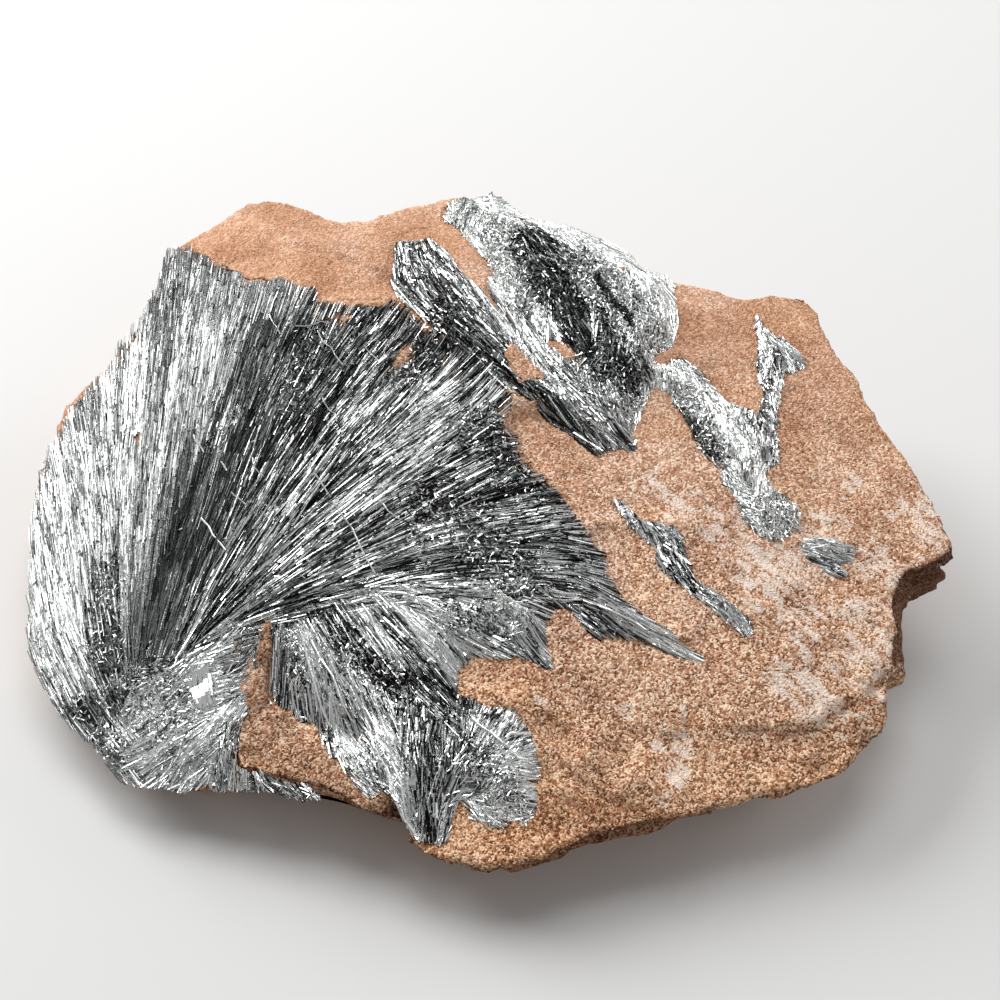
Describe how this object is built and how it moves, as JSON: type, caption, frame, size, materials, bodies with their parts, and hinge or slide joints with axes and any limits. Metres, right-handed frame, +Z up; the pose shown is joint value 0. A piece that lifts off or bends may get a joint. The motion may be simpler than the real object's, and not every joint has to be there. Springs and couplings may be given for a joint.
{
  "type": "pyrolusite specimen",
  "caption": "Loose slab of brown sandstone with flat radiating sprays of steel-grey metallic pyrolusite needles spread over its sloping top face.",
  "frame": {"origin": "middle of the bounding box, at the flat underside that the slab rests on", "axes": "+X along the slab's length towards its pointed tip, +Y from the low front edge towards the high back edge, +Z up"},
  "size_m": [0.1134, 0.0922, 0.0292],
  "materials": {
    "sandstone": "matt fine-grained reddish-brown sandstone",
    "pyrolusite": "silky metallic needles, steel grey to black"
  },
  "bodies": {
    "root": {"sandstone_matrix": "sandstone", "main_spray": "pyrolusite", "back_spray": "pyrolusite", "lower_streak": "pyrolusite", "small_spray": "pyrolusite"}
  },
  "joints": []
}
